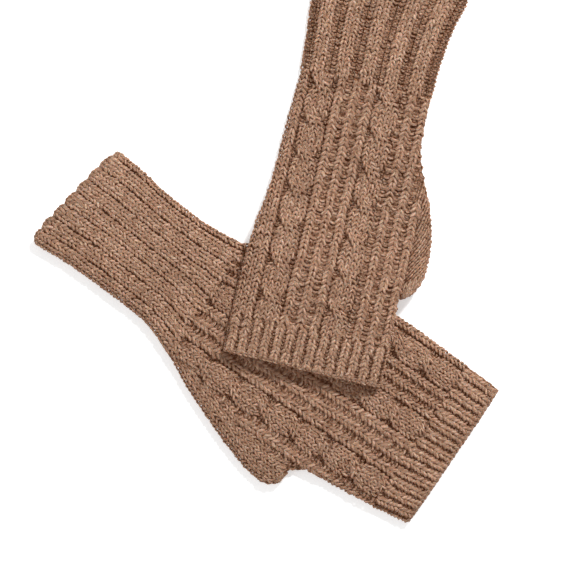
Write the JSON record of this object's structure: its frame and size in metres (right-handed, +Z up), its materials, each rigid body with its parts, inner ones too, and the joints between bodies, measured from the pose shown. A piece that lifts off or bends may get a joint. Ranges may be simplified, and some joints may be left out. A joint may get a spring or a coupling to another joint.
{
  "type": "pair of fingerless gloves",
  "caption": "Pair of long knitted fingerless gloves lying crossed, with ribbed cuffs, cabled backs, short open thumbs and ribbed open finger ends.",
  "frame": {"origin": "middle of the pair's footprint, on the table they lie on", "axes": "+Z up from the table; +Y from the left glove towards the right glove's cuff; +X towards the left glove's finger end"},
  "size_m": [0.2737, 0.3635, 0.0244],
  "materials": {
    "rib_knit": "heathered wool, ribbed knit",
    "cable_knit": "heathered wool, cable knit",
    "plain_knit": "heathered wool, stockinette knit",
    "edge_knit": "heathered wool, firm knitted edge"
  },
  "bodies": {
    "left_hand": {"left_cuff_rib": "rib_knit", "left_cabled_back": "cable_knit", "left_plain_palm": "plain_knit", "left_side_seam": "edge_knit", "left_finger_rib": "rib_knit", "left_finger_bind_off": "edge_knit"},
    "left_cuff": {"left_cuff_cast_on": "edge_knit", "left_cuff_turn_back": "rib_knit"},
    "left_thumb": {"left_thumb_gusset": "plain_knit", "left_thumb_bind_off": "edge_knit"},
    "right_hand": {"right_cuff_rib": "rib_knit", "right_cabled_back": "cable_knit", "right_plain_palm": "plain_knit", "right_side_seam": "edge_knit", "right_finger_rib": "rib_knit", "right_finger_bind_off": "edge_knit"},
    "right_cuff": {"right_cuff_cast_on": "edge_knit", "right_cuff_turn_back": "rib_knit"},
    "right_thumb": {"right_thumb_gusset": "plain_knit", "right_thumb_bind_off": "edge_knit"}
  },
  "joints": [
    {"name": "right_glove_lift", "type": "slide", "parent": "left_hand", "child": "right_hand", "axis": [0, 0, 1], "range_m": [0, 0.06]},
    {"name": "left_cuff_fold", "type": "hinge", "parent": "left_hand", "child": "left_cuff", "pos_m": [-0.07368, -0.01887, 0.0122], "axis": [0.5621, 0.8271, 0], "range_deg": [0, 150]},
    {"name": "right_cuff_fold", "type": "hinge", "parent": "right_hand", "child": "right_cuff", "pos_m": [0.07155, 0.12459, 0.0122], "axis": [0.9724, -0.2334, 0], "range_deg": [0, 150]},
    {"name": "left_thumb_fold", "type": "hinge", "parent": "left_hand", "child": "left_thumb", "pos_m": [-0.0536, -0.08185, 0.0113], "axis": [-0.7015, 0.7126, 0], "range_deg": [0, 150]},
    {"name": "right_thumb_fold", "type": "hinge", "parent": "right_hand", "child": "right_thumb", "pos_m": [0.0949, 0.06551, 0.0095], "axis": [-0.1585, -0.9826, 0.0966], "range_deg": [0, 150]}
  ]
}
